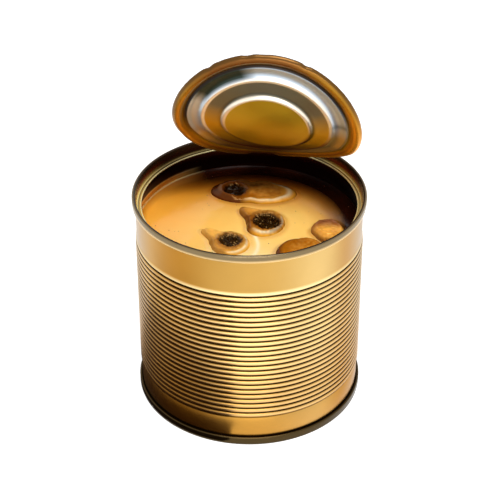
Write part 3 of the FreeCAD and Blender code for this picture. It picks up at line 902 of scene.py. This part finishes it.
def soup_outline(sizes, soup, wall):
    """The soup's section: from the middle of its foot, up the wall, and in along its level."""
    rings = 96
    sunk = 0.08 * MM  # into the wall, so that no light comes through between them
    inner = wall - sizes.groove_depth
    bead_top = top_groove_height(sizes) + 0.6 * MM
    outline = [(0.0, SOUP_LOW.z), (0.97 * inner, SOUP_LOW.z + 0.9 * MM), (inner, SOUP_LOW.z + 2.0 * MM)]
    outline += [(inner, bead_top - 0.6 * MM), (wall + sunk, bead_top)]
    outline += [((wall + sunk) * (1 - index / rings), soup.level) for index in range(rings + 1)]
    return outline


def soup_tone(place, wall, colours):
    """The soup's colour: a painted highlight in front, warm at the left, and painted shade by the
    slices, towards the back and by the wall, most at the back right.
    """
    x, y = place.x / MM, place.y / MM
    turn = math.atan2(y, x)
    inwards = (wall - math.hypot(place.x, place.y)) / MM
    back_right = ramp(facing(turn, 55), -0.3, 0.5)
    left_back = ramp(facing(turn, 158), 0.72, 0.9)
    # painted shade beside the slices
    beside = max(
        near(off_slice(spec, place), 0.3, 1.1) * (1 - 0.8 * spec["melt"]) for spec in SLICES.values()
    )
    # a painted highlight in an arc, right of the front slice
    arc_x, arc_y = x + 7.4, y + 14.6
    arc_off = math.hypot(arc_x, 0.85 * arc_y) - 10.6
    highlight_arc = near(arc_off, 0.0, 0.7) * ramp(facing(math.atan2(arc_y, arc_x), -4), 0.35, 0.85)
    blotch = lumps(x, y, 0.07, 9)
    return layered(
        colours.soup, (colours.soup_warm, 0.8 * ramp(-x + 0.4 * y, 2, 34) + 0.12 * blotch),
        # painted shade towards the back, by the wall and beside the slices
        (colours.soup_warm, 0.7 * ramp(y, 6, 26)), (colours.soup_painted_shade, ramp(y, 20, 33)),
        (colours.soup_painted_shade, 0.6 * ramp(inwards, 3.5, 0.0)), (colours.soup_painted_shade, 0.55 * beside),
        # painted highlight at the front
        (colours.painted_highlight, 0.5 * near(x, -2, 16) * near(y, -26, 10)),
        # painted shade by the wall at the back right
        (colours.soup_painted_shade, 0.8 * back_right * ramp(inwards, 6 + 14 * back_right, 2 + 8 * back_right)),
        (colours.painted_shade, back_right * ramp(inwards, 3 + 12 * back_right, 1 + 5 * back_right)),
        # painted highlights: along the soup's edge at the left of the back, and in the arc
        (colours.lip, 0.3 * left_back * ramp(inwards, 0.8, 0.4)), (colours.painted_highlight, 0.9 * highlight_arc),
    )


class CAN_OT_soup(bpy.types.Operator):
    """Makes the soup, up to its level and just into the wall"""

    bl_idname = "soup_can.soup"
    bl_label = "Soup"

    def execute(self, context):
        sizes, soup = context.scene.can_sizes, context.scene.soup_sizes
        colours = context.scene.can_colours
        wall = sizes.wall_radius - sizes.sheet
        shape = spin_outline(soup_outline(sizes, soup, wall), steps=200, closed=False)
        for vertex in shape.verts:
            if vertex.co.z > soup.level - 0.01 * MM:
                vertex.co.z += soup_rise(vertex.co, soup, wall)
        bmesh.ops.remove_doubles(shape, verts=shape.verts[:], dist=1e-6)
        bmesh.ops.recalc_face_normals(shape, faces=shape.faces[:])
        mesh = as_mesh(shape, "soup_surface")
        store_tones(mesh, [soup_tone(vertex.co, wall, colours) for vertex in mesh.vertices])
        finish_piece("soup_surface", mesh, "can", wet_soup(), ["soup"])
        return {"FINISHED"}


def slice_tone(spec, colours, share, angle, gill_off, grain):
    """The colour of a slice, from how far out a point is and how far from the gills."""
    gold_turn, gold = spec["gold"]
    # golden faces the side whose rim gets painted light; browned faces the side that gets painted shade
    golden = facing(angle, gold_turn)
    browned = ramp(facing(angle, spec["shade"]), -0.3, 0.5) * (1 - 0.5 * spec["melt"])
    tone = layered(
        colours.flesh, (colours.amber, 0.5 * spec["tan"] + 0.35 * grain), (colours.soup, spec["melt"] * 0.3),
        # painted shade in amber and skin on the browned side; then painted light in the rim's colour and a
        # painted highlight on the golden side; then the mushroom's own skin along the very edge; then the
        # far side's tone, painted shade on the back slice
        (colours.amber, near(share, 0.6, 0.25) * browned),
        (colours.skin, ramp(share, 0.66, 0.86) * browned),
        (colours.rim, 0.9 * gold * ramp(share, 0.6, 0.8) * ramp(golden, 0.0, 0.5)),
        (colours.painted_highlight, gold * near(share, 0.82, 0.06) * ramp(golden, 0.1, 0.5)),
        (colours.skin, 0.7 * ramp(share, 0.93, 1.0) * (1 - spec["melt"])),
        (getattr(colours, spec["top"]), ramp(share * math.sin(angle), -0.3, 0.4) * spec["dusk"]),
    )
    if gill_off is None:
        return tone
    stained = 0.85 * ramp(gill_off, 1.75, 1.1)
    return layered(tone, (colours.skin, stained), (colours.gill, ramp(gill_off, 1.16, 0.98)))


def gill_distance(spec, along, across, seed):
    """How far a point is from the middle of the gill patch, 1 at its ragged edge. None without gills."""
    if not spec["gill"]:
        return None
    (gill_along, gill_across), radius = spec["gill"]
    off = math.hypot(along - gill_along, (across - gill_across) * 1.1) / radius
    return off + 0.16 * lumps(along, across, 0.9, seed + 7)


def slice_relief(share, along, across, gill_off, seed):
    """What the top of a slice has over its dome, in mm: lumps, a raised rim, and sunk crinkled gills."""
    relief = 0.45 * lumps(along, across, 0.22, seed) + 0.16 * lumps(along, across, 0.8, seed + 3)
    relief += 0.5 * near(share, 0.8, 0.12)
    if gill_off is not None:
        relief += ramp(gill_off, 1.1, 0.9) * (0.55 * lumps(along, across, 2.2, seed + 9) - 0.55)
        relief += 0.35 * near(gill_off, 1.25, 0.18)
    return relief


def slice_shape(spec, colours):
    """A cooked slice: a ball flattened to the slice's outline, with its rim, lumps and gills raised."""
    shape = bmesh.new()
    bmesh.ops.create_uvsphere(shape, u_segments=120, v_segments=72, radius=1.0)
    tones = []
    seed = spec["middle"][0]
    for vertex in shape.verts:
        angle = math.atan2(vertex.co.y, vertex.co.x)
        # the power spreads the ball's rows evenly, and the dome's two powers make it flat with full sides
        share = min(math.hypot(vertex.co.x, vertex.co.y), 1.0) ** 0.75
        dome = spec["thick"] / 2 * (1 - share ** 3.2) ** (1 / 2.6)
        reach = outline_reach(spec, angle) * share
        along, across = reach * math.cos(angle), reach * math.sin(angle)
        on_top = vertex.co.z >= 0
        gill_off = gill_distance(spec, along, across, seed) if on_top else None
        height = dome + slice_relief(share, along, across, gill_off, seed) if on_top else -dome
        vertex.co = Vector((along, across, height)) * MM
        tones.append(slice_tone(spec, colours, share, angle, gill_off, lumps(along, across, 0.8, seed + 3)))
    turn = Matrix.Rotation(math.radians(spec["turn"]), 4, "Z")
    lean = Matrix.Rotation(math.radians(spec["lean"][0]), 4, "X") @ Matrix.Rotation(
        math.radians(spec["lean"][1]), 4, "Y"
    )
    middle = Vector((*spec["middle"], spec["lift"] - spec["thick"] / 2)) * MM
    middle.z += SOUP_HIGH.z
    bmesh.ops.transform(shape, matrix=Matrix.Translation(middle) @ turn @ lean, verts=shape.verts)
    bmesh.ops.recalc_face_normals(shape, faces=shape.faces[:])
    return shape, tones


class CAN_OT_mushrooms(bpy.types.Operator):
    """Makes the cooked mushroom slices that float in the soup"""

    bl_idname = "soup_can.mushrooms"
    bl_label = "Mushroom Slices"

    def execute(self, context):
        material = cooked_mushroom()
        for node, spec in SLICES.items():
            shape, tones = slice_shape(spec, context.scene.can_colours)
            name = node.replace("mushroom", "slice")
            mesh = as_mesh(shape, name)
            store_tones(mesh, tones)
            finish_piece(name, mesh, "can", material, [node])
        return {"FINISHED"}


class CAN_OT_specks(bpy.types.Operator):
    """Scatters pepper specks over the soup"""

    bl_idname = "soup_can.specks"
    bl_label = "Pepper Specks"

    def execute(self, context):
        sizes, soup = context.scene.can_sizes, context.scene.soup_sizes
        wall = sizes.wall_radius - sizes.sheet
        chance = random.Random(7)
        shape = bmesh.new()
        for _ in range(60):
            radius = wall * 0.95 * math.sqrt(chance.random())
            turn = chance.uniform(0, 2 * math.pi)
            place = Vector((radius * math.cos(turn), radius * math.sin(turn), 0))
            place.z = soup.level + soup_rise(place, soup, wall) + 0.02 * MM
            grain = chance.uniform(0.10, 0.26) * MM
            made = bmesh.ops.create_icosphere(shape, subdivisions=1, radius=grain)
            squeeze = Vector((1.0, chance.uniform(0.5, 1.0), 0.5))
            bmesh.ops.scale(shape, vec=squeeze, verts=made["verts"])
            spin = Matrix.Rotation(chance.uniform(0, math.pi), 3, "Z")
            bmesh.ops.rotate(shape, cent=(0, 0, 0), matrix=spin, verts=made["verts"])
            bmesh.ops.translate(shape, vec=place, verts=made["verts"])
        mesh = as_mesh(shape, "soup_specks")
        finish_piece("soup_specks", mesh, "can", herb_speck())
        return {"FINISHED"}


# ---------------------------------------------------------------- the stage

def soft_lamp(name, place, aim, size, power):
    """A rectangular soft box that looks at a point."""
    data = bpy.data.lights.new(name, "AREA")
    data.shape = "RECTANGLE"
    data.size, data.size_y = size
    data.energy = power
    lamp = bpy.data.objects.new(name, data)
    lamp.location = place
    lamp.rotation_euler = (Vector(aim) - Vector(place)).to_track_quat("-Z", "Y").to_euler()
    bpy.context.scene.collection.objects.link(lamp)


def seen_white(tree):
    """1 where the camera looks straight at something, or at its reflection or through glass."""
    path = add(tree, "ShaderNodeLightPath")
    total = path.outputs["Is Camera Ray"]
    for ray in ("Is Glossy Ray", "Is Transmission Ray"):
        either = add(tree, "ShaderNodeMath", [(0, total), (1, path.outputs[ray])], operation="MAXIMUM")
        total = either.outputs[0]
    return total


def white_floor():
    """A paper floor. Where it is seen it also glows a little, so that it reads white but keeps shadows."""
    material, tree = empty_material("white paper floor")
    paper = add(tree, "ShaderNodeBsdfDiffuse", Color=(0.82, 0.82, 0.82, 1))
    # the glow grows away from the middle, where the lamps light the paper less
    place = add(tree, "ShaderNodeTexCoord")
    away = add(tree, "ShaderNodeVectorMath", [(0, place.outputs["Object"])], operation="LENGTH")
    more = add(
        tree, "ShaderNodeMapRange", [("Value", away.outputs["Value"])], clamp=True,
        From_Min=0.2, From_Max=0.9, To_Min=0.72, To_Max=1.0,
    )
    strength = add(
        tree, "ShaderNodeMath", [(0, seen_white(tree)), (1, more.outputs[0])], operation="MULTIPLY",
    )
    glow = add(tree, "ShaderNodeEmission", [("Strength", strength.outputs[0])], Color=(1, 1, 1, 1))
    both = add(tree, "ShaderNodeAddShader", [(0, paper.outputs[0]), (1, glow.outputs[0])])
    add(tree, "ShaderNodeOutputMaterial", [("Surface", both.outputs[0])])
    return material


def dark_card(name, corners):
    """A dark brown card that only reflections see. It gives the metal something to mirror."""
    shape = bmesh.new()
    shape.faces.new([shape.verts.new(corner) for corner in corners])
    card = bpy.data.objects.new(name, as_mesh(shape, name))
    bpy.context.scene.collection.objects.link(card)
    brown_card = new_material("matt brown card", Base_Color=flat(linear("#3a2410")), Roughness=1.0)
    card.data.materials.append(brown_card[0])
    card.visible_camera = False
    card.visible_diffuse = False
    card.visible_shadow = False


def studio_world():
    """A world that is white where it is seen, and a faint even light on the can."""
    world = bpy.data.worlds.new("studio")
    world.use_nodes = True
    tree = world.node_tree
    tree.nodes.clear()
    strength = add(tree, "ShaderNodeMapRange", [("Value", seen_white(tree))], To_Min=0.14, To_Max=1.0)
    sky = add(tree, "ShaderNodeBackground", [("Strength", strength.outputs[0])], Color=(1, 1, 1, 1))
    add(tree, "ShaderNodeOutputWorld", [("Surface", sky.outputs[0])])
    return world


def long_lens_camera():
    """A camera half a metre off, which looks down on the can through a long lens."""
    data = bpy.data.cameras.new("camera")
    data.lens = 109.09
    data.shift_x = 0.0013
    camera = bpy.data.objects.new("camera", data)
    camera.location = (0.0, -0.47971, 0.37836)
    down = math.radians(33.61)
    camera.rotation_euler = (math.pi / 2 - down, 0, 0)
    bpy.context.scene.collection.objects.link(camera)
    return camera


class CAN_OT_stage(bpy.types.Operator):
    """Makes the floor, the lamps and the camera"""

    bl_idname = "soup_can.stage"
    bl_label = "Stage"

    def execute(self, context):
        scene = context.scene
        shape = bmesh.new()
        bmesh.ops.create_circle(shape, cap_ends=True, segments=64, radius=6.0)
        floor = bpy.data.objects.new("floor", as_mesh(shape, "floor"))
        floor.data.materials.append(white_floor())
        scene.collection.objects.link(floor)

        scene.world = studio_world()
        soft_lamp("top lamp", (0.06, -0.22, 0.88), (0, 0, 0.07), (0.45, 0.45), 7.0)
        soft_lamp("low front lamp", (0.0, -0.9, 0.20), (0, 0.01, 0.115), (0.7, 0.2), 3.4)
        # a painted shadow: the dark card stands in for shadow on the floor by the left foot, and only the
        # metal's reflections see it
        dark_card("card by the left foot", [
            (-0.008, -0.044, 0.001), (-0.022, -0.104, 0.001), (-0.086, -0.078, 0.001),
            (-0.120, 0.010, 0.001), (-0.044, 0.030, 0.001), (-0.038, -0.022, 0.001),
        ])

        scene.camera = long_lens_camera()
        scene.view_settings.view_transform = "Standard"
        return {"FINISHED"}


class CAN_PT_panel(bpy.types.Panel):
    """Lists the pieces of the can"""

    bl_idname = "CAN_PT_panel"
    bl_label = "Soup Can"
    bl_space_type = "VIEW_3D"
    bl_region_type = "UI"
    bl_category = "Soup Can"

    def draw(self, context):
        for place, kind in GROUPS.items():
            box = self.layout.box()
            for name in kind.__annotations__:
                box.prop(getattr(context.scene, place), name)
        for operator in OPERATORS:
            self.layout.operator(operator.bl_idname)


GROUPS = {
    "can_sizes": CanSizes, "lid_sizes": LidSizes, "soup_sizes": SoupSizes, "can_colours": CanColours,
}
OPERATORS = (
    CAN_OT_wall, CAN_OT_top_ring, CAN_OT_foot, CAN_OT_lid, CAN_OT_soup, CAN_OT_mushrooms, CAN_OT_specks,
    CAN_OT_stage,
)


def register():
    for group in GROUPS.values():
        bpy.utils.register_class(group)
    for operator in OPERATORS:
        bpy.utils.register_class(operator)
    bpy.utils.register_class(CAN_PT_panel)
    for name, group in GROUPS.items():
        setattr(bpy.types.Scene, name, PointerProperty(type=group))


def unregister():
    for name in GROUPS:
        delattr(bpy.types.Scene, name)
    bpy.utils.unregister_class(CAN_PT_panel)
    for group in (*OPERATORS, *GROUPS.values()):
        bpy.utils.unregister_class(group)


def main():
    register()
    for operator in OPERATORS:
        group, name = operator.bl_idname.split(".")
        getattr(getattr(bpy.ops, group), name)()


if __name__ == "__main__":
    main()
